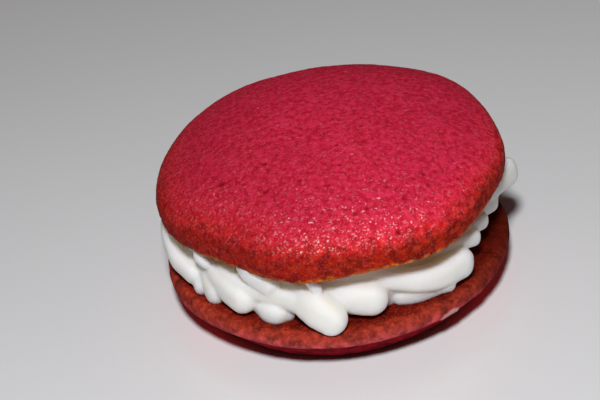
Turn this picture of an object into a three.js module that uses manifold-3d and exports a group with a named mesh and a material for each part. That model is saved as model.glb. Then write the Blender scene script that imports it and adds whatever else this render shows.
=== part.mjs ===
// A whoopie pie: two soft red cake halves, flat sides inwards, around a hand-piped ring of white cream.
// Millimetres, +Z up. The pie rests on the flattened crown of its lower half, and the origin is the
// middle of its footprint. Angles go round from the front (-Y) towards the right (+X), in degrees.
import * as THREE from "three";
import { mergeVertices } from "three/addons/utils/BufferGeometryUtils.js";
import Module from "manifold-3d";

const wasm = await Module();
wasm.setup();

// ---- driving dimensions ----
const lowerRadius = 30; // the lower half's rim
const lowerHeight = 8.2; // from the table to the face that carries the cream
const restRadius = 13; // the flat spot that the pie stands on
const crownRadius = 24.8; // where its almost flat crown turns up into its side
const crownRise = 0.25; // height of that corner
const crownRound = 1.4; // how far the corner is rounded, each way
const lipBottom = 5.6; // height where the side ends under the rim
const lipOverhang = 0.8; // how far the rim stands out over it
const lipTuck = 0.25; // how far the rim's lower edge lies inside its widest point
const lipRise = 0.15; // how much higher than the side's end that edge is
const lipTurn = 0.9; // height over which it turns upright
const lipWall = 0.1; // height of the upright part
const lipRound = 1.3; // width of the rounding above it
const upperRadius = 29.3; // the upper half at its widest
const upperHeight = 12.1; // from its lower edge to its crown
const upperBelly = 3; // height of its widest point above that edge
const upperTuck = 0.7; // how far its lower edge lies inside its widest point
const upperPower = 2.1; // how square its shoulder is: 2 is an ellipse
const upperRise = 19.3; // height of its lower edge above the table, in the middle
const tiltBack = 2; // degrees that the upper half rises towards the back
const tiltRight = 2; // and towards the right
const upperShift = 0.4; // how far it lies to the right of the lower half
const gap = 0.3; // the clearance that touching pieces keep
const creamFoot = 24.2; // radius of the cream's wall behind its folds where it meets the lower half
const footHeight = 8.7; // and the height up to which it is upright there
const creamWaist = 25.2; // the same wall's radius at mid height
const waistLow = 11.5; // and the heights that this lasts from
const waistHigh = 12.5; // and to
const creamNeck = 23.8; // its radius under the upper half
const neckHeight = 17; // and the height from which that lasts
const spare = 4; // how far the wall runs on into both halves before it is cut
const foldDepth = 0.82; // a fold's thickness out of the wall, as a part of its width
const foldPower = 3; // how square a fold's section is: 2 is round
const halfSegments = 72; // facets round each cake half
const wallSegments = 48; // facets round the cream's wall
const foldSides = 12; // facets round a fold
const foldSteps = 11; // and along it

// How the outlines depart from a circle: waves round them, each with its height in millimetres and the
// angle of its first crest, counted from the right-hand side, times its count.
const upperWaves = [
  { count: 2, height: 0.5, phase: -22 },
  { count: 3, height: 0.31, phase: 147 },
  { count: 4, height: 0.19, phase: 76 },
  { count: 5, height: 0.19, phase: -132 },
  { count: 6, height: 0.22, phase: 63 },
  { count: 7, height: 0.29, phase: -60 },
  { count: 8, height: 0.22, phase: -115 },
];
const lowerWaves = [
  { count: 3, height: 0.12, phase: 40 },
  { count: 5, height: 0.1, phase: -70 },
  { count: 7, height: 0.08, phase: 15 },
];
const wallWaves = [
  { count: 4, height: 0.3, phase: 30 },
  { count: 9, height: 0.2, phase: -80 },
];

// The folds of cream at the front and the sides, from the left round to the right. Most start high under
// the upper half, in the wall, and sink towards the right into a round lobe. Each is given by the places
// that its middle passes through, as [angle, height, radius, half width].
const frontFolds = [
  [[-112, 17, 25.5, 2], [-90, 16.8, 26, 2], [-70, 15.4, 25.2, 1.8]],
  [[-108, 16.5, 26, 1.4], [-86, 15.1, 28, 2.1], [-74, 12.5, 28.1, 2.2], [-65, 11.1, 27.1, 2.1]],
  [[-74, 14.5, 25.8, 1.5], [-69, 12, 26.4, 1.7]],
  [[-68, 11, 26.4, 1.4], [-60, 9.6, 27.1, 1.6]],
  [[-62, 13, 25.4, 1.5], [-57, 11.2, 26, 1.8], [-52.5, 9.8, 26.6, 2]],
  [[-68, 14.4, 24.2, 1.8], [-56, 12.8, 25, 2.3], [-46.5, 11.9, 25.7, 2.6], [-38.5, 11.2, 26.3, 2.6]],
  [[-62, 17.2, 26.2, 0.8], [-57.5, 16.3, 27.4, 1], [-55, 15.2, 27, 0.9]],
  [[-40, 18, 25.2, 1.1], [-34.5, 17, 26.2, 1.6], [-27, 14.9, 26, 1.7]],
  [
    [-50, 13.8, 24.9, 1.7], [-43, 13, 25.5, 2], [-36, 13, 25.6, 2],
    [-29, 13.2, 25.5, 1.8], [-22, 12.8, 25.5, 1.9], [-16, 12.3, 25.7, 2.2],
  ],
  [[-32.5, 9.4, 25.4, 1.3], [-28.5, 9.6, 26, 1.9], [-24.5, 9.6, 26.2, 1.9], [-21, 9.1, 25.6, 1.1]],
  [
    [-27, 15.6, 23.2, 1.6], [-20, 14.3, 24, 2], [-13.5, 12.6, 25.6, 2.8],
    [-8.5, 11.5, 27.1, 3.1], [-4.6, 10.5, 28.3, 2.7],
  ],
  [[-13.5, 18, 25.8, 0.6], [-11.2, 16.9, 27, 0.7], [-8.8, 15.3, 26.8, 0.9]],
  [[-13, 14.8, 23.2, 1.4], [-4, 12.9, 24.4, 2.2], [3, 12.1, 25.1, 2.7], [10, 11.7, 25.8, 2.8]],
  [[22, 9.3, 24.6, 1.3], [28, 9.3, 25.4, 1.6], [35, 9.1, 26, 1.4]],
  [[36, 9.3, 26.8, 0.9], [40, 9.2, 27.4, 1]],
  [[8, 14.8, 23.2, 1.2], [22, 13.1, 25, 1.8], [34, 11.9, 26.4, 2.2], [47, 11.7, 26.8, 2.7]],
  [[40, 15, 24.4, 1.1], [50, 14.4, 25.6, 1.4], [58, 13.5, 26.5, 1.5]],
  [[56, 14.8, 25, 1.3], [68, 13.8, 26.3, 1.6]],
  [[68, 15, 25, 1.5], [82, 13.6, 26.8, 2]],
  [[80, 16.5, 27, 1.8], [95, 15, 30.4, 2.7]],
];
// Behind, they go on by rule, each swelling or thinning a little from the last, with a small lobe low
// down under every other one. Sweep is how many degrees a fold or a lobe spans, and each of its places
// is [share of the sweep, height, radius, half width].
const backFolds = {
  first: 102,
  last: 240,
  step: 17,
  sweep: 27,
  places: [[-0.5, 15.2, 23.4, 1.2], [0, 12.8, 24.8, 1.9], [0.5, 11.6, 26.6, 2.6]],
};
const backLobes = {
  first: 110,
  last: 240,
  step: 34,
  sweep: 6,
  places: [[-0.5, 10.4, 24.4, 2.1], [0.5, 9.9, 26, 2.1]],
};
const backSwell = { share: 0.1, beat: 2.4 };

// ---- helpers ----
const radians = THREE.MathUtils.degToRad;
const mix = THREE.MathUtils.lerp;

// How far an outline stands off its circle at an angle, in radians from the front.
function waviness(waves, angle) {
  const turn = angle - Math.PI / 2;
  return waves.reduce((sum, w) => sum + w.height * Math.cos(w.count * turn - radians(w.phase)), 0);
}

// A corner rounded as a superellipse, from one [radius, height] to another, leaving the first one level.
function shoulder(from, to, steps, power = 2) {
  return Array.from({ length: steps }, (_, i) => {
    const turn = ((i + 1) / steps) * (Math.PI / 2);
    const outward = Math.sin(turn) ** (2 / power);
    const upward = 1 - Math.cos(turn) ** (2 / power);
    return [mix(from[0], to[0], outward), mix(from[1], to[1], upward)];
  });
}

// A corner rounded as a parabola, from one [radius, height] to another.
function bend(from, corner, to, steps) {
  const places = [from, corner, to].map((place) => new THREE.Vector2(...place));
  const curve = new THREE.QuadraticBezierCurve(...places);
  return curve.getPoints(steps).map((point) => point.toArray());
}

// The place at a distance from one [radius, height] on the way to another.
function towards(from, to, distance) {
  const share = distance / Math.hypot(to[0] - from[0], to[1] - from[1]);
  return [mix(from[0], to[0], share), mix(from[1], to[1], share)];
}

// A body turned from a profile of [radius, height], low to high, whose outline follows the given waves.
function turned(profile, waves, segments) {
  const points = profile.map(([radius, height]) => new THREE.Vector2(radius, height));
  const widest = Math.max(...points.map((point) => point.x));
  const geometry = new THREE.LatheGeometry(points, segments);
  const position = geometry.getAttribute("position");
  for (let i = 0; i < position.count; i++) {
    const [radius, height] = profile[i % profile.length];
    const angle = (Math.floor(i / profile.length) % segments) * ((2 * Math.PI) / segments);
    const reach = radius * (1 + waviness(waves, angle) / widest);
    position.setXYZ(i, reach * Math.sin(angle), -reach * Math.cos(angle), height);
  }
  return welded(geometry);
}

// The same geometry with each corner once, and without the faces that this leaves with no area.
function welded(geometry) {
  geometry.deleteAttribute("normal");
  geometry.deleteAttribute("uv");
  const merged = mergeVertices(geometry, 1e-5);
  const corners = Array.from(merged.getIndex().array);
  const kept = [];
  for (let i = 0; i < corners.length; i += 3) {
    const [a, b, c] = corners.slice(i, i + 3);
    if (a !== b && b !== c && c !== a) kept.push(a, b, c);
  }
  merged.setIndex(kept);
  return merged;
}

function toSolid(geometry) {
  return new wasm.Manifold(new wasm.Mesh({
    numProp: 3,
    vertProperties: new Float32Array(geometry.getAttribute("position").array),
    triVerts: new Uint32Array(geometry.getIndex().array),
  }));
}

function toGeometry(solid) {
  const mesh = solid.getMesh();
  const geometry = new THREE.BufferGeometry();
  geometry.setAttribute("position", new THREE.BufferAttribute(mesh.vertProperties, 3));
  geometry.setIndex(new THREE.BufferAttribute(mesh.triVerts, 1));
  return geometry;
}

function part(name, geometry, colour, roughness) {
  geometry.computeVertexNormals();
  const material = new THREE.MeshStandardMaterial({ color: colour, roughness, metalness: 0 });
  const mesh = new THREE.Mesh(geometry, material);
  mesh.name = name;
  return mesh;
}

// ---- the cake halves ----
// The lower half lies crown down: a flattened dome that ends under an overhanging rim, and a flat face
// on top.
function bottomCake() {
  const rest = [restRadius, 0];
  const crown = [crownRadius, crownRise];
  const neck = [lowerRadius - lipOverhang, lipBottom];
  const lowerEdge = [lowerRadius - lipTuck, lipBottom + lipRise];
  const upperEdge = [lowerRadius - lipRound, lowerHeight];
  const profile = [
    [0, 0],
    rest,
    ...bend(towards(crown, rest, crownRound), crown, towards(crown, neck, crownRound), 4),
    neck,
    ...shoulder(lowerEdge, [lowerRadius, lipBottom + lipTurn], 2),
    ...shoulder(upperEdge, [lowerRadius, lipBottom + lipTurn + lipWall], 4).reverse(),
    upperEdge,
    [0, lowerHeight],
  ];
  return turned(profile, lowerWaves, halfSegments);
}

// The upper half is a low dome over a belly that tucks in to a flat underside.
function topCake() {
  const belly = [upperRadius, upperBelly];
  const crown = [0, upperHeight];
  const profile = [
    [0, 0],
    [upperRadius - upperTuck, 0],
    ...shoulder([upperRadius - upperTuck, 0], belly, 3),
    ...shoulder(crown, belly, 11, upperPower).reverse().slice(1),
    crown,
  ];
  return turned(profile, upperWaves, halfSegments);
}

// ---- the cream ----
// One fold: a rope through its places, with a round end past the first and the last.
function fold(places) {
  const line = foldLine(places);
  const length = line.at(-1).walked;
  const rings = Array.from({ length: foldSteps + 1 }, (_, step) => {
    const walked = ((1 - Math.cos((step / foldSteps) * Math.PI)) / 2) * length;
    const ends = roundedEnd(walked, line[0].half) * roundedEnd(length - walked, line.at(-1).half);
    const { point, half } = placeAt(line, walked);
    return { point, size: half * ends };
  });
  const vertices = rings.flatMap(({ point, size }, step) => {
    const before = rings[Math.max(step - 1, 0)].point;
    const after = rings[Math.min(step + 1, foldSteps)].point;
    return foldRing(point, after.clone().sub(before).normalize(), size);
  });
  const faces = [];
  const corner = (step, side) => step * foldSides + (side % foldSides);
  for (let step = 0; step < foldSteps; step++) {
    for (let side = 0; side < foldSides; side++) {
      faces.push(corner(step, side), corner(step + 1, side), corner(step + 1, side + 1));
      faces.push(corner(step, side), corner(step + 1, side + 1), corner(step, side + 1));
    }
  }
  const geometry = new THREE.BufferGeometry();
  geometry.setAttribute("position", new THREE.Float32BufferAttribute(vertices, 3));
  geometry.setIndex(faces);
  return toSolid(welded(geometry));
}

// A fold's middle line as many near points, each with its half width and how far along it lies. It goes
// straight on past both ends, by the half width there.
function foldLine(places) {
  const curve = new THREE.CatmullRomCurve3(places.map(onPie), false, "catmullrom", 0.5);
  const stretches = places.length - 1;
  const perStretch = 8;
  const line = Array.from({ length: stretches * perStretch + 1 }, (_, i) => {
    const stretch = Math.min(Math.floor(i / perStretch), stretches - 1);
    const [start, end] = [places[stretch][3], places[stretch + 1][3]];
    const point = curve.getPoint(i / (stretches * perStretch));
    return { point, half: mix(start, end, i / perStretch - stretch) };
  });
  line.unshift({ point: beyond(line[1].point, line[0].point, line[0].half), half: line[0].half });
  const [previous, last] = line.slice(-2);
  line.push({ point: beyond(previous.point, last.point, last.half), half: last.half });
  let walked = 0;
  return line.map((place, i) => {
    walked += i ? place.point.distanceTo(line[i - 1].point) : 0;
    return { ...place, walked };
  });
}

function onPie([angle, height, radius]) {
  return new THREE.Vector3(radius * Math.sin(radians(angle)), -radius * Math.cos(radians(angle)), height);
}

// The point a distance past the second of two points.
function beyond(before, last, distance) {
  return last.clone().addScaledVector(last.clone().sub(before).normalize(), distance);
}

// The point and the half width at a distance along a fold's line.
function placeAt(line, walked) {
  const next = Math.max(1, line.findIndex((place) => place.walked >= walked - 1e-9));
  const [before, after] = [line[next - 1], line[next]];
  const share = (walked - before.walked) / (after.walked - before.walked);
  const point = before.point.clone().lerp(after.point, share);
  return { point, half: mix(before.half, after.half, share) };
}

// The coordinates of one ring of corners round a fold: a rounded square, a little flat out of the wall.
function foldRing(centre, forward, size) {
  const outward = new THREE.Vector3(centre.x, centre.y, 0).normalize();
  const across = new THREE.Vector3().crossVectors(forward, outward).normalize();
  outward.crossVectors(across, forward);
  const squared = (wave) => Math.sign(wave) * Math.abs(wave) ** (2 / foldPower);
  return Array.from({ length: foldSides }, (_, side) => {
    const turn = (side / foldSides) * 2 * Math.PI;
    const corner = centre.clone().addScaledVector(across, size * squared(Math.cos(turn)));
    return corner.addScaledVector(outward, size * foldDepth * squared(Math.sin(turn))).toArray();
  }).flat();
}

// How wide a ball's end is at a distance from its tip, from 0 to 1.
function roundedEnd(distance, radius) {
  const short = Math.min(1, Math.max(0, 1 - distance / radius));
  return Math.sqrt(1 - short * short);
}

// Everything between the two cake halves, less the clearances: a block with a tilted top.
function spaceBetween() {
  const wide = 3 * lowerRadius;
  const block = new THREE.BoxGeometry(wide, wide, 1);
  const position = block.getAttribute("position");
  for (let i = 0; i < position.count; i++) {
    const top = upperRise - gap + tiltRise(position.getX(i), position.getY(i));
    position.setZ(i, position.getZ(i) > 0 ? top : lowerHeight + gap);
  }
  return toSolid(welded(block));
}

function tiltRise(x, y) {
  return (x - upperShift) * Math.tan(radians(tiltRight)) + y * Math.tan(radians(tiltBack));
}

function foldsBehind() {
  const folds = [];
  for (let at = backFolds.first, turn = 0; at <= backFolds.last; at += backFolds.step, turn++) {
    const swell = 1 + backSwell.share * Math.sin(turn * backSwell.beat);
    folds.push(backFolds.places.map(([share, height, radius, half]) => (
      [at + share * backFolds.sweep, height, radius, half * swell]
    )));
  }
  for (let at = backLobes.first; at <= backLobes.last; at += backLobes.step) {
    folds.push(backLobes.places.map(([share, height, radius, half]) => (
      [at + share * backLobes.sweep, height, radius, half]
    )));
  }
  return folds;
}

// The wall behind the folds, and all of them, cut to the space between the halves.
function cream() {
  const profile = [
    [0, lowerHeight - spare],
    [creamFoot, lowerHeight - spare],
    [creamFoot, footHeight],
    [creamWaist, waistLow],
    [creamWaist, waistHigh],
    [creamNeck, neckHeight],
    [creamNeck, upperRise + spare],
    [0, upperRise + spare],
  ];
  const wall = toSolid(turned(profile, wallWaves, wallSegments));
  const whole = [...frontFolds, ...foldsBehind()].map(fold).reduce((sum, one) => sum.add(one), wall);
  return toGeometry(whole.intersect(spaceBetween()));
}

// ---- the pie ----
const pie = new THREE.Group();
pie.add(part("bottom_cake", bottomCake(), 0xa03428, 0.75));
pie.add(part("cream", cream(), 0xf2efe6, 0.45));

const upper = part("top_cake", topCake(), 0xb81f3a, 0.7);
upper.position.set(upperShift, 0, upperRise);
upper.rotation.set(radians(tiltBack), radians(-tiltRight), 0);
pie.add(upper);

// The middle of the footprint goes to the origin.
const middle = new THREE.Box3().setFromObject(pie).getCenter(new THREE.Vector3());
pie.position.set(-middle.x, -middle.y, 0);

export default pie;
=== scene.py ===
"""A small red whoopie pie: two porous cake halves round a ring of piped white cream.

Places and sizes are in millimetres in the pie's own frame, whose axis is the lower half's, and angles
go round from the front (-Y) towards the right (+X), in degrees. Meshes are built in that frame and
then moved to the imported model's, in metres.
"""
import math

import bpy
import numpy as np
from mathutils import Matrix, Vector, noise


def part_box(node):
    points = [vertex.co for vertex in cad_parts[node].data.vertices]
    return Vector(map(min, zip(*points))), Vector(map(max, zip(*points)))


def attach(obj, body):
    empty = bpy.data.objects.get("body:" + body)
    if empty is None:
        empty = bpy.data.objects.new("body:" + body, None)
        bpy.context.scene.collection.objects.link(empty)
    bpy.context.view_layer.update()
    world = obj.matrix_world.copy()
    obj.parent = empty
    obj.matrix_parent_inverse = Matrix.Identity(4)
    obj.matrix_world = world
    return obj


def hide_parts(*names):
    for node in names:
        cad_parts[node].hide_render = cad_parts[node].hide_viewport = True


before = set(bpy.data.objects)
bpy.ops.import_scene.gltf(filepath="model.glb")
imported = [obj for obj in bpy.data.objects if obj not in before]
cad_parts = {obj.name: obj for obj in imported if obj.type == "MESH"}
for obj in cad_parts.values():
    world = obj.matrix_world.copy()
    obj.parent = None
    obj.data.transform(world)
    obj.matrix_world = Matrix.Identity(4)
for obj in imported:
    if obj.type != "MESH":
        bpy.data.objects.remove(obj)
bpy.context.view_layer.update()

MM = 0.001

# ---- driving dimensions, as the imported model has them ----
LOWER_RADIUS = 30.0
LOWER_HEIGHT = 8.2
LIP_BOTTOM = 5.6
LIP_OVERHANG = 0.8
REST_RADIUS = 13.0
CROWN_RADIUS = 24.8
CROWN_RISE = 0.25
CROWN_ROUND = 1.4
LIP_TUCK = 0.25
LIP_RISE = 0.15
LIP_TURN = 0.9
LIP_WALL = 0.1
LIP_ROUND = 1.3
UPPER_RADIUS = 29.3
UPPER_HEIGHT = 12.1
UPPER_BELLY = 3.0
UPPER_TUCK = 0.7
UPPER_RISE = 19.3
TILT_BACK = 2.0
TILT_RIGHT = 2.0
UPPER_SHIFT = 0.4
UPPER_POWER = 2.1
CREAM_WAIST = 25.2
CREAM_FOOT = 24.2
CREAM_NECK = 23.8
FOOT_HEIGHT = LOWER_HEIGHT + 0.5
WAIST_LOW = 11.5
WAIST_HIGH = 12.5
NECK_HEIGHT = 17.0
FOLD_DEPTH = 0.82
FOLD_POWER = 3.0

# Waves round the outlines: how many, how high, and their phase in degrees.
UPPER_WAVES = [
    (2, 0.5, -22), (3, 0.31, 147), (4, 0.19, 76), (5, 0.19, -132),
    (6, 0.22, 63), (7, 0.29, -60), (8, 0.22, -115),
]
LOWER_WAVES = [(3, 0.12, 40), (5, 0.1, -70), (7, 0.08, 15)]
WAIST_WAVES = [(4, 0.3, 30), (9, 0.2, -80)]

# The folds of cream that the photo shows: the places that each one's middle passes through, as
# degrees, height, radius and half width.
FRONT_FOLDS = [
    ((-112, 17, 25.5, 2), (-90, 16.8, 26, 2), (-70, 15.4, 25.2, 1.8)),
    ((-108, 16.5, 26, 1.4), (-86, 15.1, 28, 2.1), (-74, 12.5, 28.1, 2.2), (-65, 11.1, 27.1, 2.1)),
    ((-74, 14.5, 25.8, 1.5), (-69, 12, 26.4, 1.7)),
    ((-68, 11, 26.4, 1.4), (-60, 9.6, 27.1, 1.6)),
    ((-62, 13, 25.4, 1.5), (-57, 11.2, 26, 1.8), (-52.5, 9.8, 26.6, 2)),
    ((-68, 14.4, 24.2, 1.8), (-56, 12.8, 25, 2.3), (-46.5, 11.9, 25.7, 2.6), (-38.5, 11.2, 26.3, 2.6)),
    ((-62, 17.2, 26.2, 0.8), (-57.5, 16.3, 27.4, 1), (-55, 15.2, 27, 0.9)),
    ((-40, 18, 25.2, 1.1), (-34.5, 17, 26.2, 1.6), (-27, 14.9, 26, 1.7)),
    (
        (-50, 13.8, 24.9, 1.7), (-43, 13, 25.5, 2), (-36, 13, 25.6, 2),
        (-29, 13.2, 25.5, 1.8), (-22, 12.8, 25.5, 1.9), (-16, 12.3, 25.7, 2.2),
    ),
    ((-32.5, 9.4, 25.4, 1.3), (-28.5, 9.6, 26, 1.9), (-24.5, 9.6, 26.2, 1.9), (-21, 9.1, 25.6, 1.1)),
    (
        (-27, 15.6, 23.2, 1.6), (-20, 14.3, 24, 2), (-13.5, 12.6, 25.6, 2.8),
        (-8.5, 11.5, 27.1, 3.1), (-4.6, 10.5, 28.3, 2.7),
    ),
    ((-13.5, 18, 25.8, 0.6), (-11.2, 16.9, 27, 0.7), (-8.8, 15.3, 26.8, 0.9)),
    ((-13, 14.8, 23.2, 1.4), (-4, 12.9, 24.4, 2.2), (3, 12.1, 25.1, 2.7), (10, 11.7, 25.8, 2.8)),
    ((22, 9.3, 24.6, 1.3), (28, 9.3, 25.4, 1.6), (35, 9.1, 26, 1.4)),
    ((36, 9.3, 26.8, 0.9), (40, 9.2, 27.4, 1)),
    ((8, 14.8, 23.2, 1.2), (22, 13.1, 25, 1.8), (34, 11.9, 26.4, 2.2), (47, 11.7, 26.8, 2.7)),
    ((40, 15, 24.4, 1.1), (50, 14.4, 25.6, 1.4), (58, 13.5, 26.5, 1.5)),
    ((56, 14.8, 25, 1.3), (68, 13.8, 26.3, 1.6)),
    ((68, 15, 25, 1.5), (82, 13.6, 26.8, 2)),
    ((80, 16.5, 27, 1.8), (95, 15, 30.4, 2.7)),
]
# The folds at the back go on by a rule: one every BACK_STEP degrees, some a little wider than others,
# with small lobes below them.
BACK_FIRST, BACK_LAST, BACK_STEP, BACK_SWEEP = 102, 240, 17, 27
BACK_HEIGHTS = (15.2, 12.8, 11.6)
BACK_RADII = (23.4, 24.8, 26.6)
BACK_HALVES = (1.2, 1.9, 2.6)
BACK_UNEVEN, BACK_PHASE = 0.1, 2.4
LOBE_STEP, LOBE_SWEEP = 34, 6
LOBE_HEIGHTS = (10.4, 9.9)
LOBE_RADII = (24.4, 26)
LOBE_HALVES = (2.1, 2.1)
# The core behind the folds ends at these heights, inside both halves, until it is squeezed flat.
CORE_BOTTOM, CORE_TOP = 4, UPPER_RISE + 4

# ---- the surfaces' relief ----
# Smooth unevenness: how high, how large, and the noise's seed.
LOWER_RELIEF = [(0.12, 7, 1), (0.05, 1.8, 2)]
RIM_RELIEF = [(0.1, 2.4, 23)]
UPPER_RELIEF = [(0.22, 14, 3), (0.1, 5, 4)]
SKIN_RELIEF = [(0.05, 1.3, 6)]
EDGE_RELIEF = [(0.16, 2.2, 13), (0.1, 0.8, 14)]
CREAM_RELIEF = [(0.13, 4.5, 11), (0.05, 1.6, 12)]
# The upper half's crumbs, how high its rougher edge reaches, and the share of all that on its flat face.
CRUMB_HEIGHT, CRUMB_SIZE, CRUMB_SEED = 0.07, 0.75, 5
EDGE_HEIGHT = 3
FLAT_SHARE = 0.4
# What is lower than these on the profiles is flat: the lower half's foot and the upper half's underside.
REST_LEVEL, FLAT_LEVEL = 0.02, 0.01
# How far the cream's squeezed faces reach into the halves' skins.
CREAM_SINK = 0.05

# Pits in the skins: how many, and the least and most of their radii and depths.
LOWER_PIT_COUNT, LOWER_PIT_RADII, LOWER_PIT_DEPTHS = 220, (0.2, 0.6), (0.06, 0.25)
UPPER_PIT_COUNT, UPPER_PIT_RADII, UPPER_PIT_DEPTHS = 190, (0.2, 0.5), (0.08, 0.25)
# The lower half's lie between two radii of its face, and the upper half's above a height.
LOWER_PIT_REACH = (20.5, LOWER_RADIUS - 1.1)
UPPER_PIT_FROM = 0.6
# The upper half's pits that the photo shows, as degrees, radius and size.
SEEN_PITS = [
    (-58, 21, 0.8), (-48, 14, 0.55), (-34, 19, 0.6), (-18, 16, 0.5), (8, 13, 0.5), (8, 23.5, 0.6),
    (12, 8, 0.5), (20, 28, 0.6), (28, 24, 0.6), (40, 24, 0.6), (43, 22, 0.6), (52, 26, 0.5),
]
SEEN_PIT_DEPTH = 0.3
# A pit this deep has its full painted shade.
SHADED_PIT_DEPTH = 0.3

# A trace of cream on the lower rim: its middle and half its length in degrees, its height, half its
# width, how much it slants, its thickness, how sharp and how ragged its outline is, and how far in it
# may reach.
SMEAR_AT, SMEAR_SPAN, SMEAR_HEIGHT, SMEAR_HALF, SMEAR_SLANT = 34.8, 4, 6.0, 0.75, 0.25
SMEAR_THICKNESS = 0.2
SMEAR_SHARPNESS = 2.2
SMEAR_RAGGED = [(0.5, 0.9, 21)]
SMEAR_DEPTH = 2

# ---- how the halves are baked ----
# The lower half: how high its pink rim reaches, how much narrower that is away from the front and
# between which degrees it narrows, and how baked the face is by how far in from there. The pink is
# partly the rim's own colour and partly painted sheen where it faces the flash at the front, and the
# face darkens towards the cream partly as browning and partly as painted shade.
RIM_PINK = 6.5
RIM_UNEVEN = [(0.5, 3, 22)]
RIM_NARROWER = 0.6
RIM_NARROWS = (15, 75)
FACE_REACH = (0, 0.8, 3.1, 3.8, 5)
FACE_BAKED_AND_SHADED = (0, 0.18, 0.3, 0.5, 0.8)
# Its face is darker on the right, partly a darker bake and partly painted shade, growing and fading between
# these degrees.
FACE_BAKE_AND_SHADE = 0.85
FACE_DARKENS, FACE_CLEARS = (25, 85), (170, 130)
# Below this height is its underside: its value at the front, darker there as painted shade, and
# elsewhere, a brighter red whose light reddens the table's shadow; and where that changes.
UNDER_LEVEL = LIP_BOTTOM + 0.1
UNDER_SHADED_FRONT, UNDER_ELSEWHERE = 0.9, 1.0
UNDER_CHANGES = (35, 50)
# The upper half: how far below its crown it starts to brown, over what drop it does, and to what value.
BROWN_FROM, BROWN_OVER, BROWN_MOST = 3.4, 5.2, 0.92
BROWN_UNEVEN = [(0.7, 8, 7), (0.5, 3, 8)]
# The side that was baked most, and how much higher the brown reaches there; painted shade also darkens the
# skin on that side.
BAKED_AND_SHADED_SIDE, BAKED_MORE = -75, 0.7
# How high its orange lip reaches, and over what height it fades.
ORANGE_HEIGHT, ORANGE_OVER = 1.35, 1.2
ORANGE_UNEVEN = [(0.8, 2, 15)]
# Painted shade on its skin, darker towards the edge at these sides: degrees and share.
SHADED_SIDES = [(BAKED_AND_SHADED_SIDE, 1.0), (135, 0.45)]
SHADE_MOST, SHADE_POWER = 0.55, 1.5

# ---- how fine the meshes are ----
# Distances between vertices: where it is seen closely, elsewhere, and where it is hidden.
LOWER_FINE, LOWER_COARSE, LOWER_HIDDEN = 0.24, 0.42, 1.6
UPPER_FINE, UPPER_COARSE, UPPER_HIDDEN = 0.205, 0.3, 1.8
CORE_SPACING = 0.9
# The halves' flat faces are hidden nearer the axis than these radii.
LOWER_SHOWN, UPPER_SHOWN = 21, 24
# The lower half is seen closely from this height.
LOWER_CLOSE = LIP_BOTTOM - 0.5
CORNER_STEPS, RIM_STEPS, BELLY_STEPS, DOME_STEPS = 12, 16, 14, 80
# How finely a profile is walked along when it is set out again, and the fewest vertices in a ring.
WALK_STEP = 0.02
FEWEST_SIDES = 8
FOLD_SIDES, FOLD_STEPS, LINE_STEPS = 28, 44, 16
# Half the width of a fold's very tip.
THINNEST = 0.02
# The size of the cream's voxels, and how often and how strongly its skin is smoothed.
CREAM_VOXEL, CREAM_ROUNDS, CREAM_SOFTNESS = 0.26, 8, 0.5

# Steps between the noises of one seed and the next.
FIELD_STEP = np.array([17.3, 5.1, 9.7])
GRAIN_STEP = np.array([3.7, 11.9, 7.3])


# ---- geometry helpers ----
def waviness(waves, angles):
    """How far an outline stands off its circle at angles in radians from the front."""
    turn = angles - math.pi / 2
    return sum(height * np.cos(count * turn - math.radians(phase)) for count, height, phase in waves)


def shoulder(start, end, steps, power=2.0):
    """A corner rounded as a superellipse from one [radius, height] to another, leaving the first level."""
    turn = np.linspace(0, math.pi / 2, steps + 1)[1:]
    outward = np.sin(turn) ** (2 / power)
    upward = 1 - np.maximum(np.cos(turn), 0) ** (2 / power)
    wide, high = end[0] - start[0], end[1] - start[1]
    return [[start[0] + wide * out, start[1] + high * up] for out, up in zip(outward, upward)]


def bend(start, corner, end, steps):
    """A corner rounded as a parabola from one [radius, height] to another."""
    start, corner, end = np.array(start), np.array(corner), np.array(end)
    places = np.linspace(0, 1, steps + 1)
    curve = [(1 - t) ** 2 * start + 2 * t * (1 - t) * corner + t ** 2 * end for t in places]
    return [point.tolist() for point in curve]


def towards(start, end, distance):
    """The place at a distance from one [radius, height] on the way to another."""
    start, end = np.array(start, float), np.array(end, float)
    return (start + (end - start) * distance / np.linalg.norm(end - start)).tolist()


def resampled(profile, spacing_at):
    """The profile's points set out again, as far apart as spacing_at(radius, height) says."""
    points = np.array(profile, float)
    dense = [points[0]]
    for a, b in zip(points[:-1], points[1:]):
        count = max(1, int(np.linalg.norm(b - a) / WALK_STEP))
        dense.extend(a + (b - a) * (i + 1) / count for i in range(count))
    dense = np.array(dense)
    spacing = np.array([spacing_at(r, z) for r, z in dense])
    steps = np.linalg.norm(np.diff(dense, axis=0), axis=1)
    walked = np.concatenate([[0], np.cumsum(steps / ((spacing[1:] + spacing[:-1]) / 2))])
    wanted = np.linspace(0, walked[-1], int(math.ceil(walked[-1])) + 1)
    return np.column_stack([np.interp(wanted, walked, column) for column in (*dense.T, spacing)])


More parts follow.
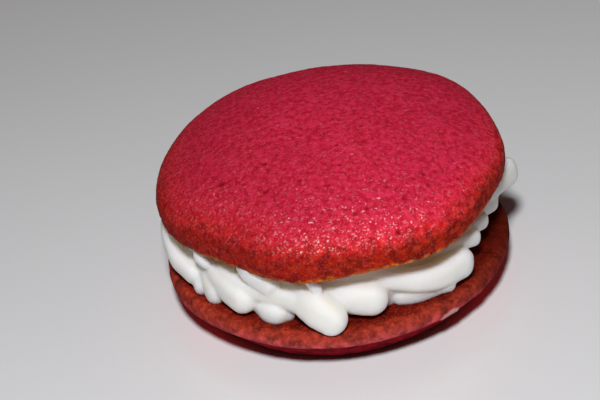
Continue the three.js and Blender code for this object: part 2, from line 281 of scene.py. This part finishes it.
def turned(profile, spacing_at, waves):
    """Vertices, normals, faces and profile places of a closed turned body, evenly meshed."""
    rows = resampled(profile, spacing_at)
    widest = rows[:, 0].max()
    slope = np.gradient(rows[:, :2], axis=0)
    slope /= np.linalg.norm(slope, axis=1)[:, None]
    vertices, normals, places, rings = [], [], [], []
    for index, (radius, height, spacing) in enumerate(rows):
        on_axis = index in (0, len(rows) - 1)
        count = 1 if on_axis else max(FEWEST_SIDES, int(round(2 * math.pi * radius / spacing)))
        angles = np.arange(count) * 2 * math.pi / count
        reach = radius * (1 + waviness(waves, angles) / widest)
        out = np.column_stack([np.sin(angles), -np.cos(angles)])
        rings.append((len(vertices), count))
        vertices.extend(np.column_stack([out * reach[:, None], np.full(count, height)]))
        side, up = (0.0, -1.0 if index == 0 else 1.0) if on_axis else (slope[index, 1], -slope[index, 0])
        normals.extend(np.column_stack([out * side, np.full(count, up)]))
        places.extend([[radius, height]] * count)
    faces = []
    for (first, count), (second, following) in zip(rings[:-1], rings[1:]):
        stitch(faces, first, count, second, following)
    return np.array(vertices), np.array(normals), faces, np.array(places)


def stitch(faces, first, count, second, following):
    """Triangles between two rings of different numbers of vertices."""
    i = j = 0
    while i < count or j < following:
        if count == 1:
            faces.append((first, second + (j + 1) % following, second + j))
            j += 1
            if j == following:
                return
        elif following == 1:
            faces.append((first + i, first + (i + 1) % count, second))
            i += 1
            if i == count:
                return
        elif j >= following or (i < count and (i + 1) * following <= (j + 1) * count):
            faces.append((first + i % count, first + (i + 1) % count, second + j % following))
            i += 1
        else:
            faces.append((first + i % count, second + (j + 1) % following, second + j % following))
            j += 1


def field(points, size, seed):
    """Smooth noise of about -1 to 1 at points, with features of the given size."""
    places = points / size + seed * FIELD_STEP
    return np.array([noise.noise(place) for place in places.tolist()])


def uneven(points, relief):
    """The sum of several smooth noises, each given by its height, size and seed."""
    return sum(height * field(points, size, seed) for height, size, seed in relief)


def grains(points, size, seed):
    """Rounded crumbs packed side by side: 1 in the middle of each, 0 between them."""
    places = points / size + seed * GRAIN_STEP
    nearest = np.array([noise.voronoi(place)[0][0] for place in places.tolist()])
    return 1 - np.clip(nearest, 0, 1) ** 2


def pits(points, centres, radii, depths):
    """The depth of soft round hollows at points."""
    depth = np.zeros(len(points))
    for centre, radius, deep in zip(centres, radii, depths):
        near = np.linalg.norm(points - centre, axis=1) / radius
        inside = near < 1
        depth[inside] = np.maximum(depth[inside], deep * (1 - near[inside] ** 2) ** 1.5)
    return depth


def bearing(points):
    """The points' angles round the axis, in radians from the front."""
    return np.arctan2(points[:, 0], -points[:, 1])


def facing(points, degrees):
    """1 in one direction from the axis, to -1 on the other side."""
    return np.cos(bearing(points) - math.radians(degrees))


def rise(values, start, end):
    """0 where values are at start or before it, to 1 where they are at end or past it."""
    return np.clip((values - start) / (end - start), 0, 1)


def new_object(name, vertices, faces):
    """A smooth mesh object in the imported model's frame, riding on the pie's one body."""
    mesh = bpy.data.meshes.new(name)
    mesh.from_pydata((vertices * MM).tolist(), [], faces)
    mesh.polygons.foreach_set("use_smooth", [True] * len(mesh.polygons))
    mesh.update()
    piece = bpy.data.objects.new(name, mesh)
    bpy.context.collection.objects.link(piece)
    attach(piece, "root")
    return piece


def mark(piece, name, values):
    """A number for each vertex, that a material reads by name."""
    layer = piece.data.attributes.new(name, "FLOAT", "POINT")
    layer.data.foreach_set("value", np.asarray(values, np.float32))


# ---- the lower half ----
def lower_profile():
    rest = [REST_RADIUS, 0]
    crown = [CROWN_RADIUS, CROWN_RISE]
    neck = [LOWER_RADIUS - LIP_OVERHANG, LIP_BOTTOM]
    lower_edge = [LOWER_RADIUS - LIP_TUCK, LIP_BOTTOM + LIP_RISE]
    upper_edge = [LOWER_RADIUS - LIP_ROUND, LOWER_HEIGHT]
    wall_foot = [LOWER_RADIUS, LIP_BOTTOM + LIP_TURN]
    wall_top = [LOWER_RADIUS, LIP_BOTTOM + LIP_TURN + LIP_WALL]
    before, after = towards(crown, rest, CROWN_ROUND), towards(crown, neck, CROWN_ROUND)
    profile = [[0, 0], rest]
    profile += bend(before, crown, after, CORNER_STEPS)
    profile += [neck]
    profile += shoulder(lower_edge, wall_foot, CORNER_STEPS)
    profile += shoulder(upper_edge, wall_top, RIM_STEPS)[::-1]
    profile += [upper_edge, [0, LOWER_HEIGHT]]
    return profile


def lower_spacing(radius, height):
    if height <= LOWER_CLOSE:
        return LOWER_COARSE
    return LOWER_FINE if radius > LOWER_SHOWN else LOWER_HIDDEN


def lower_holes(points):
    """The depth of the pits in the lower half's face."""
    rng = np.random.default_rng(4)
    count = LOWER_PIT_COUNT
    turn = rng.uniform(0, 2 * math.pi, count)
    reach = rng.uniform(*LOWER_PIT_REACH, count)
    centres = np.column_stack([reach * np.sin(turn), -reach * np.cos(turn), np.full(count, LOWER_HEIGHT)])
    radii = rng.uniform(*LOWER_PIT_RADII, count)
    depths = rng.uniform(*LOWER_PIT_DEPTHS, count)
    return pits(points, centres, radii, depths)


def cream_smear(points, height):
    """How much cream is left on the rim, to the right of the front."""
    along = (np.degrees(bearing(points)) - SMEAR_AT) / SMEAR_SPAN
    up = (height - SMEAR_HEIGHT - SMEAR_SLANT * along) / SMEAR_HALF
    reach = 1 - along ** 2 - up ** 2 + uneven(points, SMEAR_RAGGED)
    on_rim = np.hypot(points[:, 0], points[:, 1]) > LOWER_RADIUS - SMEAR_DEPTH
    return np.clip(SMEAR_SHARPNESS * reach, 0, 1) * on_rim


def lower_browning_and_shade(points, radius, height):
    """How baked the lower half is: 0 low on its rim, 0.8 on its face, 0.9 to 1 underneath; and how dark.
    Painted shade and sheen are in it: shade near the cream, on the underside's front and on the face's
    right, and sheen on the pink rim.
    """
    turn = np.degrees(bearing(points))
    narrower = RIM_NARROWER * rise(np.abs(turn), *RIM_NARROWS)
    inward = LOWER_RADIUS - radius + height - RIM_PINK + uneven(points, RIM_UNEVEN) + narrower
    face = np.interp(inward, FACE_REACH, FACE_BAKED_AND_SHADED)
    dark = FACE_BAKE_AND_SHADE * rise(turn, *FACE_DARKENS) * rise(turn, *FACE_CLEARS)
    below = UNDER_SHADED_FRONT + (UNDER_ELSEWHERE - UNDER_SHADED_FRONT) * rise(np.abs(turn), *UNDER_CHANGES)
    under = height < UNDER_LEVEL
    return np.where(under, below, face), np.where(under, 0, dark)


def make_bottom_cake(place):
    points, normals, faces, places = turned(lower_profile(), lower_spacing, LOWER_WAVES)
    radius, height = places.T
    holes = lower_holes(points)
    smear = cream_smear(points, height)
    relief = uneven(points, LOWER_RELIEF) + uneven(points, RIM_RELIEF) * (height > LIP_BOTTOM)
    relief = relief - holes + SMEAR_THICKNESS * smear
    relief[height < REST_LEVEL] = 0
    moved = points + normals * relief[:, None]
    moved[:, 2] = np.maximum(moved[:, 2], 0)
    piece = new_object("bottom_cake_baked", moved + place, faces)
    browned, dark = lower_browning_and_shade(points, radius, height)
    mark(piece, "pit", np.clip(holes / SHADED_PIT_DEPTH, 0, 1))
    mark(piece, "smear", smear)
    mark(piece, "browned", browned)
    mark(piece, "dark", dark)
    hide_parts("bottom_cake")
    return piece


# ---- the upper half ----
def upper_profile():
    foot = [UPPER_RADIUS - UPPER_TUCK, 0]
    belly = [UPPER_RADIUS, UPPER_BELLY]
    crown = [0, UPPER_HEIGHT]
    profile = [[0, 0], foot]
    profile += shoulder(foot, belly, BELLY_STEPS)
    profile += shoulder(crown, belly, DOME_STEPS, UPPER_POWER)[::-1][1:]
    profile += [crown]
    return profile


def upper_spacing(radius, height):
    if height >= FLAT_LEVEL:
        return UPPER_FINE
    return UPPER_COARSE if radius > UPPER_SHOWN else UPPER_HIDDEN


def upper_placed(points):
    """Points of the upper half's own frame where it lies on the cream."""
    back = Matrix.Rotation(math.radians(TILT_BACK), 3, "X")
    right = Matrix.Rotation(math.radians(-TILT_RIGHT), 3, "Y")
    return points @ np.array(back @ right).T + np.array([UPPER_SHIFT, 0, UPPER_RISE])


def dome_height(radii):
    """Height of the upper half's dome over radii from its axis."""
    curve = 1 - (radii / UPPER_RADIUS) ** UPPER_POWER
    return UPPER_BELLY + (UPPER_HEIGHT - UPPER_BELLY) * curve ** (1 / UPPER_POWER)


def upper_holes(points, height):
    """The depth of the pits in the upper half's skin, scattered ones and those that the photo shows."""
    rng = np.random.default_rng(9)
    chosen = rng.choice(np.flatnonzero(height > UPPER_PIT_FROM), UPPER_PIT_COUNT, replace=False)
    angles, reaches, seen_radii = np.array(SEEN_PITS).T
    turn = np.radians(angles)
    seen = np.column_stack([reaches * np.sin(turn), -reaches * np.cos(turn), dome_height(reaches)])
    centres = np.vstack([points[chosen], seen])
    radii = np.concatenate([rng.uniform(*UPPER_PIT_RADII, UPPER_PIT_COUNT), seen_radii])
    depths = rng.uniform(*UPPER_PIT_DEPTHS, UPPER_PIT_COUNT)
    depths = np.concatenate([depths, np.full(len(seen), SEEN_PIT_DEPTH)])
    return pits(points, centres, radii, depths)


def upper_browning(points, height):
    """From 0 on the pink crown, through the browned edge, to 1 on the orange lip at the very bottom."""
    drop = UPPER_HEIGHT - height
    more = uneven(points, BROWN_UNEVEN) + BAKED_MORE * facing(points, BAKED_AND_SHADED_SIDE)
    browned = np.clip((drop + more - BROWN_FROM) / BROWN_OVER, 0, 1) * BROWN_MOST
    orange = np.clip((ORANGE_HEIGHT + uneven(points, ORANGE_UNEVEN) - height) / ORANGE_OVER, 0, 1)
    return browned + (1 - browned) * orange * (height > FLAT_LEVEL)


def upper_painted_shade(points, radius):
    """How much painted shade darkens the skin towards its edge, on the two sides set above."""
    sides = sum(share * np.clip(facing(points, side), 0, 1) for side, share in SHADED_SIDES)
    return SHADE_MOST * sides * (radius / UPPER_RADIUS) ** SHADE_POWER


def make_top_cake(place):
    points, normals, faces, places = turned(upper_profile(), upper_spacing, UPPER_WAVES)
    radius, height = places.T
    holes = upper_holes(points, height)
    crumbs = CRUMB_HEIGHT * (grains(points, CRUMB_SIZE, CRUMB_SEED) - 0.5)
    relief = uneven(points, UPPER_RELIEF)
    relief += crumbs + uneven(points, SKIN_RELIEF)
    relief += np.clip(1 - height / EDGE_HEIGHT, 0, 1) * uneven(points, EDGE_RELIEF)
    relief = (relief - holes) * np.where(height < FLAT_LEVEL, FLAT_SHARE, 1.0)
    moved = upper_placed(points + normals * relief[:, None])
    piece = new_object("top_cake_baked", moved + place, faces)
    mark(piece, "pit", np.clip(holes / SHADED_PIT_DEPTH, 0, 1))
    mark(piece, "browned", upper_browning(points, height))
    # Painted shade on two sides of its skin.
    mark(piece, "dark", upper_painted_shade(points, radius))
    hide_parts("top_cake")
    return piece


# ---- the cream ----
def unit(vector):
    return vector / np.linalg.norm(vector)


def rounded_end(distances, radius):
    """How wide a ball's end is at distances from its tip, from 0 to 1."""
    return np.sqrt(1 - np.clip(1 - distances / radius, 0, 1) ** 2)


def smooth_line(places, count):
    """Points along a Catmull-Rom curve through the places."""
    ends = np.vstack([2 * places[0] - places[1], places, 2 * places[-1] - places[-2]])
    line = []
    for p, q, r, s in zip(ends, ends[1:], ends[2:], ends[3:]):
        square = 2 * p - 5 * q + 4 * r - s
        cube = 3 * q - p - 3 * r + s
        for t in np.arange(count)[:, None] / count:
            line.append(0.5 * (2 * q + (r - p) * t + square * t ** 2 + cube * t ** 3))
    return np.vstack(line + [places[-1:]])


def fold_line(fold):
    """Places and half widths along a fold, whose round ends reach half its width past its own places."""
    degrees, heights, radii, halves = np.array(fold, float).T
    angles = np.radians(degrees)
    places = np.column_stack([radii * np.sin(angles), -radii * np.cos(angles), heights, halves])
    line = smooth_line(places, LINE_STEPS)
    first, last = line[0, 3], line[-1, 3]
    before = line[0].copy()
    before[:3] += unit(line[0, :3] - line[1, :3]) * first
    after = line[-1].copy()
    after[:3] += unit(line[-1, :3] - line[-2, :3]) * last
    line = np.vstack([before, line, after])
    walked = np.concatenate([[0], np.cumsum(np.linalg.norm(np.diff(line[:, :3], axis=0), axis=1))])
    length = walked[-1]
    along = (1 - np.cos(np.linspace(0, math.pi, FOLD_STEPS + 1))) / 2 * length
    centres = np.column_stack([np.interp(along, walked, column) for column in line.T])
    sizes = centres[:, 3] * rounded_end(along, first) * rounded_end(length - along, last)
    return centres[:, :3], sizes


def fold_rings(fold):
    """Vertices and faces of one fold: a rope with round ends that swells as its places say."""
    centres, sizes = fold_line(fold)
    forward = np.gradient(centres, axis=0)
    turn = np.arange(FOLD_SIDES) * 2 * math.pi / FOLD_SIDES
    wide, deep = (np.sign(wave) * np.abs(wave) ** (2 / FOLD_POWER) for wave in (np.cos(turn), np.sin(turn)))
    vertices = []
    for centre, ahead, size in zip(centres, forward, sizes):
        ahead = unit(ahead)
        outward = unit(np.array([centre[0], centre[1], 0]))
        across = unit(np.cross(ahead, outward))
        outward = np.cross(across, ahead)
        ring = np.outer(wide, across) + FOLD_DEPTH * np.outer(deep, outward)
        vertices.append(centre + max(size, THINNEST) * ring)
    faces = []
    for step in range(FOLD_STEPS):
        for side in range(FOLD_SIDES):
            a, b = step * FOLD_SIDES + side, step * FOLD_SIDES + (side + 1) % FOLD_SIDES
            faces.append((a, a + FOLD_SIDES, b + FOLD_SIDES, b))
    faces.append(tuple(range(FOLD_SIDES)))
    faces.append(tuple(FOLD_STEPS * FOLD_SIDES + side for side in reversed(range(FOLD_SIDES))))
    return np.vstack(vertices), faces


def all_folds():
    folds = list(FRONT_FOLDS)
    for index, at in enumerate(range(BACK_FIRST, BACK_LAST + 1, BACK_STEP)):
        swell = 1 + BACK_UNEVEN * math.sin(index * BACK_PHASE)
        angles = (at - BACK_SWEEP / 2, at, at + BACK_SWEEP / 2)
        folds.append(tuple(zip(angles, BACK_HEIGHTS, BACK_RADII, (half * swell for half in BACK_HALVES))))
    for at in range(BACK_FIRST + BACK_STEP // 2, BACK_LAST, LOBE_STEP):
        angles = (at - LOBE_SWEEP / 2, at + LOBE_SWEEP / 2)
        folds.append(tuple(zip(angles, LOBE_HEIGHTS, LOBE_RADII, LOBE_HALVES)))
    return folds


def cream_core():
    profile = [[0, CORE_BOTTOM], [CREAM_FOOT, CORE_BOTTOM], [CREAM_FOOT, FOOT_HEIGHT]]
    profile += [[CREAM_WAIST, WAIST_LOW], [CREAM_WAIST, WAIST_HIGH], [CREAM_NECK, NECK_HEIGHT]]
    profile += [[CREAM_NECK, CORE_TOP], [0, CORE_TOP]]
    points, _, faces, _ = turned(profile, lambda radius, height: CORE_SPACING, WAIST_WAVES)
    return points, faces


def joined(parts):
    vertices, faces = [], []
    for points, corners in parts:
        first = len(vertices)
        vertices.extend(points.tolist())
        faces.extend(tuple(first + corner for corner in face) for face in corners)
    return vertices, faces


def remeshed(vertices, faces):
    """One closed skin round the cream's overlapping bodies, softened where they meet."""
    mesh = bpy.data.meshes.new("rough_cream")
    mesh.from_pydata(vertices, [], faces)
    rough = bpy.data.objects.new("rough_cream", mesh)
    bpy.context.collection.objects.link(rough)
    skin = rough.modifiers.new("skin", "REMESH")
    skin.mode = "VOXEL"
    skin.voxel_size = CREAM_VOXEL
    soft = rough.modifiers.new("soft", "SMOOTH")
    soft.factor = CREAM_SOFTNESS
    soft.iterations = CREAM_ROUNDS
    result = bpy.data.meshes.new_from_object(rough.evaluated_get(bpy.context.evaluated_depsgraph_get()))
    points = np.empty(len(result.vertices) * 3)
    result.vertices.foreach_get("co", points)
    normals = np.empty(len(result.vertices) * 3)
    result.vertices.foreach_get("normal", normals)
    corners = [tuple(face.vertices) for face in result.polygons]
    bpy.data.objects.remove(rough)
    bpy.data.meshes.remove(result)
    return points.reshape(-1, 3), normals.reshape(-1, 3), corners


def underside_height(points):
    """Height of the upper half's flat face over points of the plan."""
    right = (points[:, 0] - UPPER_SHIFT) * math.tan(math.radians(TILT_RIGHT))
    return UPPER_RISE + right + points[:, 1] * math.tan(math.radians(TILT_BACK))


def make_cream(place):
    parts = [fold_rings(fold) for fold in all_folds()] + [cream_core()]
    points, normals, faces = remeshed(*joined(parts))
    points = points + normals * uneven(points, CREAM_RELIEF)[:, None]
    highest = underside_height(points) + CREAM_SINK
    points[:, 2] = np.clip(points[:, 2], LOWER_HEIGHT - CREAM_SINK, highest)
    piece = new_object("piped_cream", points + place, faces)
    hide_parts("cream")
    return piece


# ---- materials ----
class Shader:
    """A short way to write node materials."""

    def __init__(self, name):
        self.material = bpy.data.materials.new(name)
        self.material.use_nodes = True
        self.tree = self.material.node_tree
        self.surface = self.tree.nodes["Principled BSDF"]
        self.object = self.tree.nodes.new("ShaderNodeTexCoord").outputs["Object"]

    def link(self, source, target):
        self.tree.links.new(source, target)

    def drive(self, name, source):
        """What varies over the surface, into one of the surface's sockets."""
        self.link(source, self.surface.inputs[name])

    def set(self, name, value):
        """What is the same all over the surface, on the socket itself."""
        self.surface.inputs[name].default_value = value

    def noise(self, size, detail=2.0, roughness=0.5):
        """Noise with features of a size in millimetres, from 0 to 1."""
        node = self.tree.nodes.new("ShaderNodeTexNoise")
        node.inputs["Scale"].default_value = 1 / (size * MM)
        node.inputs["Detail"].default_value = detail
        node.inputs["Roughness"].default_value = roughness
        self.link(self.object, node.inputs["Vector"])
        return node.outputs["Fac"]

    def attribute(self, name):
        node = self.tree.nodes.new("ShaderNodeAttribute")
        node.attribute_name = name
        return node.outputs["Fac"]

    def ramp(self, source, *stops):
        """Colours or greys along 0 to 1: each stop is a place and a value."""
        node = self.tree.nodes.new("ShaderNodeValToRGB")
        elements = node.color_ramp.elements
        while len(elements) < len(stops):
            elements.new(0.5)
        for element, (position, value) in zip(elements, stops):
            element.position = position
            colour = (value,) * 3 if isinstance(value, (int, float)) else value
            element.color = (*colour, 1)
        self.link(source, node.inputs["Fac"])
        return node.outputs["Color"]

    def mix(self, amount, first, second, kind="MIX"):
        node = self.tree.nodes.new("ShaderNodeMix")
        node.data_type = "RGBA"
        node.blend_type = kind
        for socket, value in ((node.inputs[0], amount), (node.inputs[6], first), (node.inputs[7], second)):
            if isinstance(value, bpy.types.NodeSocket):
                self.link(value, socket)
            elif isinstance(value, (int, float)):
                socket.default_value = value
            else:
                socket.default_value = (*value, 1)
        return node.outputs[2]

    def product(self, first, *others):
        """Colours or greys multiplied together."""
        for other in others:
            first = self.mix(1.0, first, other, "MULTIPLY")
        return first

    def bump(self, height, distance, strength=1.0):
        """A normal that leans as a relief does, of a depth in millimetres."""
        node = self.tree.nodes.new("ShaderNodeBump")
        node.inputs["Strength"].default_value = strength
        node.inputs["Distance"].default_value = distance * MM
        self.link(height, node.inputs["Height"])
        return node.outputs["Normal"]

    def on(self, piece):
        piece.data.materials.clear()
        piece.data.materials.append(self.material)


# Colours of the upper half, from its crown at 0 to the orange lip at its foot at 1.
UPPER_COLOURS = [
    (0.0, (0.61, 0.011, 0.045)),
    (0.3, (0.69, 0.013, 0.042)),
    (0.6, (0.64, 0.014, 0.016)),
    (0.85, (0.35, 0.009, 0.004)),
    (0.94, (0.40, 0.012, 0.002)),
    (1.0, (0.72, 0.14, 0.018)),
]
# The colour of the painted shade on two sides of the upper half.
UPPER_SHADE = (0.24, 0.005, 0.007)
# The colour of the painted shade in its pits.
UPPER_PIT_SHADE = (0.20, 0.004, 0.009)
# Its paler grains: partly the crumbs' own colour, partly painted glints.
UPPER_GRAIN_GLINT = (0.92, 0.20, 0.24)

# Colours of the lower half: its rim from 0, its face to 0.8, and its underside from 0.9 to 1. The pink rim
# is partly painted sheen, the dark face towards 0.8 partly painted shade, and 0.9 painted shade on the
# underside's front.
LOWER_COLOURS = [
    (0.0, (0.50, 0.066, 0.068)),
    (0.25, (0.33, 0.033, 0.018)),
    (0.5, (0.23, 0.016, 0.006)),
    (0.8, (0.14, 0.006, 0.002)),
    (0.9, (0.22, 0.003, 0.010)),
    (1.0, (0.56, 0.006, 0.020)),
]
# The right of its face: a darker bake and painted shade.
LOWER_BAKE_AND_SHADE = (0.05, 0.004, 0.0015)
# The colour of the painted shade in its pits.
LOWER_PIT_SHADE = (0.08, 0.004, 0.002)
# Paler specks on its face: partly the crumbs' own colour, partly painted glints.
LOWER_GRAIN_GLINT = (0.80, 0.26, 0.20)
SMEAR_COLOUR = (0.58, 0.30, 0.30)

CREAM_TONES = [(0.83, 0.83, 0.785), (0.86, 0.86, 0.815)]
FLOOR_TONES = [(0.825, 0.835, 0.855), (0.855, 0.865, 0.885)]


def top_colour(shader, browned, pit, grain):
    """Mottled red, blotched where it is browned, with pale grains that are partly painted glints, painted
    shade on two sides, and painted shade in the pits.
    """
    mottle = shader.ramp(shader.noise(0.9, 2), (0.35, (0.78, 0.6, 0.64)), (0.65, (1.14, 2.1, 1.75)))
    blotch = shader.ramp(shader.noise(1.6, 3, 0.6), (0.38, 0.5), (0.6, 1.2))
    edge = shader.mix(shader.ramp(browned, (0.3, 0.0), (0.7, 1.0)), (1, 1, 1), blotch)
    colour = shader.product(shader.ramp(browned, *UPPER_COLOURS), mottle, edge)
    # Painted shade on two sides of the skin.
    colour = shader.mix(shader.attribute("dark"), colour, UPPER_SHADE)
    # Paler grains: partly the crumbs' own colour, partly painted glints.
    pale = shader.product(grain, shader.ramp(browned, (0.0, 0.08), (0.3, 0.16), (0.8, 0.08)))
    colour = shader.mix(pale, colour, UPPER_GRAIN_GLINT)
    # Painted shade in the pits.
    return shader.mix(pit, colour, UPPER_PIT_SHADE)


def top_material():
    shader = Shader("red_crumb_skin")
    browned = shader.attribute("browned")
    pit = shader.attribute("pit")
    grain = shader.ramp(shader.noise(0.38, 1), (0.53, 0.02), (0.67, 1.0))
    shader.drive("Base Color", top_colour(shader, browned, pit, grain))
    shader.drive("Normal", shader.bump(shader.noise(0.9, 2), 0.2))
    shader.set("Roughness", 0.8)
    shader.set("Specular IOR Level", 0.05)
    # The sparkle: a gloss on the grains alone, weaker on the browned edge and absent from the pits.
    patches = shader.ramp(shader.noise(1.5, 2), (0.36, 0.25), (0.6, 1.0))
    unbaked = shader.ramp(browned, (0.3, 1.0), (0.65, 0.8), (0.85, 0.15))
    skin = shader.ramp(pit, (0.0, 1.0), (0.4, 0.0))
    shader.drive("Coat Weight", shader.product(grain, patches, unbaked, skin))
    shader.drive("Coat Normal", shader.bump(shader.noise(1.5, 2), 0.7))
    shader.set("Coat Roughness", 0.52)
    shader.set("Coat IOR", 2.4)
    return shader


def bottom_material():
    shader = Shader("porous_baked_face")
    browned = shader.attribute("browned")
    mottle = shader.ramp(shader.noise(1.1, 3, 0.5), (0.3, 0.62), (0.7, 1.32))
    blotch = shader.ramp(shader.noise(2.0, 3, 0.6), (0.38, 0.62), (0.6, 1.2))
    # Its ramp holds painted sheen on the pink rim and painted shade near the cream and on the underside's
    # front.
    colour = shader.product(shader.ramp(browned, *LOWER_COLOURS), mottle, blotch)
    # Paler specks on the face: partly the crumbs' own colour, partly painted glints.
    grain = shader.ramp(shader.noise(0.45, 1), (0.55, 0.0), (0.7, 0.1))
    grain = shader.product(grain, shader.ramp(browned, (0.8, 1.0), (0.88, 0.0)))
    colour = shader.mix(grain, colour, LOWER_GRAIN_GLINT)
    # The face's right: partly a darker bake, partly painted shade.
    colour = shader.mix(shader.attribute("dark"), colour, LOWER_BAKE_AND_SHADE)
    # Painted shade in the pits.
    colour = shader.mix(shader.attribute("pit"), colour, LOWER_PIT_SHADE)
    colour = shader.mix(shader.attribute("smear"), colour, SMEAR_COLOUR)
    shader.drive("Base Color", colour)
    shader.drive("Normal", shader.bump(shader.noise(0.45, 3, 0.6), 0.05))
    shader.set("Roughness", 0.8)
    shader.set("Specular IOR Level", 0.02)
    return shader


def cream_material():
    shader = Shader("whipped_cream")
    shader.drive("Base Color", shader.mix(shader.noise(6, 2), *CREAM_TONES))
    shader.drive("Normal", shader.bump(shader.noise(1.2, 3, 0.6), 0.05, 0.6))
    shader.set("Roughness", 0.6)
    shader.set("Specular IOR Level", 0.12)
    shader.set("Subsurface Weight", 0.8)
    shader.set("Subsurface Radius", (1.0, 0.85, 0.58))
    shader.set("Subsurface Scale", 4.5 * MM)
    return shader


def floor_material():
    shader = Shader("pale_table")
    shader.drive("Base Color", shader.mix(shader.noise(60, 2), *FLOOR_TONES))
    shader.set("Roughness", 0.28)
    shader.set("Specular IOR Level", 0.8)
    return shader


# ---- the stage: lengths in metres, angles in degrees ----
FLOOR_SIZE = 3
# One flash, above the camera and farther off, and a faint warm light all round.
FLASH_AZIMUTH, FLASH_ELEVATION, FLASH_DISTANCE = -2, 51, 0.45
FLASH_SIZE, FLASH_POWER = 0.06, 1.85
ROOM_COLOUR, ROOM_STRENGTH = (1, 0.6, 0.5, 1), 0.03
# The photograph is 600 x 400 pixels. Its camera looks down at the pie from 300 mm away, turned a little
# about its own line of sight, and has the pie's middle at the pixel given here.
PHOTO_WIDTH, PHOTO_HEIGHT = 600, 400
MIDDLE_AT = (332.2, 199.7)
MIDDLE_HEIGHT = 0.015
FOCAL_PIXELS = 1733.4
VIEW_DISTANCE = 0.3
VIEW_ELEVATION = 32.75
VIEW_ROLL = -6.53
NEAREST = 0.01
# The width of the camera's sensor, in millimetres.
SENSOR = 36


def add_floor():
    bpy.ops.mesh.primitive_plane_add(size=FLOOR_SIZE)
    floor = bpy.context.object
    floor.name = "table"
    floor_material().on(floor)


def add_light(middle):
    azimuth, elevation = math.radians(FLASH_AZIMUTH), math.radians(FLASH_ELEVATION)
    around = Vector((math.sin(azimuth), -math.cos(azimuth), 0)) * math.cos(elevation)
    above = Vector((0, 0, math.sin(elevation)))
    flash = middle + (around + above) * FLASH_DISTANCE
    light = bpy.data.lights.new("flash", "AREA")
    light.shape = "DISK"
    light.size = FLASH_SIZE
    light.energy = FLASH_POWER
    lamp = bpy.data.objects.new("flash", light)
    bpy.context.collection.objects.link(lamp)
    lamp.location = flash
    lamp.rotation_euler = (middle - flash).to_track_quat("-Z", "Y").to_euler()


def add_room():
    world = bpy.data.worlds.new("room")
    world.use_nodes = True
    background = world.node_tree.nodes["Background"]
    background.inputs["Color"].default_value = ROOM_COLOUR
    background.inputs["Strength"].default_value = ROOM_STRENGTH
    bpy.context.scene.world = world


def add_camera(middle):
    elevation, roll = math.radians(VIEW_ELEVATION), math.radians(VIEW_ROLL)
    back = Vector((0, -math.cos(elevation), math.sin(elevation)))
    up = Vector((0, math.sin(elevation), math.cos(elevation)))
    side = Vector((1, 0, 0))
    right = side * math.cos(roll) + up * math.sin(roll)
    up = up * math.cos(roll) - side * math.sin(roll)
    aside = MIDDLE_AT[0] - PHOTO_WIDTH / 2
    above = PHOTO_HEIGHT / 2 - MIDDLE_AT[1]
    ahead = (-back * FOCAL_PIXELS - right * aside - up * above).normalized()
    right = (right - ahead * right.dot(ahead)).normalized()
    up = right.cross(ahead)
    data = bpy.data.cameras.new("camera")
    data.sensor_width = SENSOR
    data.lens = FOCAL_PIXELS / PHOTO_WIDTH * SENSOR
    data.clip_start = NEAREST
    camera = bpy.data.objects.new("camera", data)
    bpy.context.collection.objects.link(camera)
    turn = Matrix((right, up, -ahead)).transposed().to_4x4()
    camera.matrix_world = Matrix.Translation(middle + back * VIEW_DISTANCE) @ turn
    bpy.context.scene.camera = camera


def axis_place():
    """Where the lower half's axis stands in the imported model, in millimetres."""
    angles = np.radians(np.arange(0, 360, 0.5))
    reach = LOWER_RADIUS + waviness(LOWER_WAVES, angles)
    outline = np.column_stack([reach * np.sin(angles), -reach * np.cos(angles)])
    own_middle = (outline.min(axis=0) + outline.max(axis=0)) / 2
    low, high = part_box("bottom_cake")
    packed_middle = (np.array(low) + np.array(high))[:2] / 2 / MM
    return np.array([*(packed_middle - own_middle), 0.0])


place = axis_place()
middle = Vector((place[0] * MM, place[1] * MM, MIDDLE_HEIGHT))
add_camera(middle)
top_material().on(make_top_cake(place))
bottom_material().on(make_bottom_cake(place))
cream_material().on(make_cream(place))
add_floor()
add_light(middle)
add_room()
bpy.context.scene.view_settings.view_transform = "Standard"
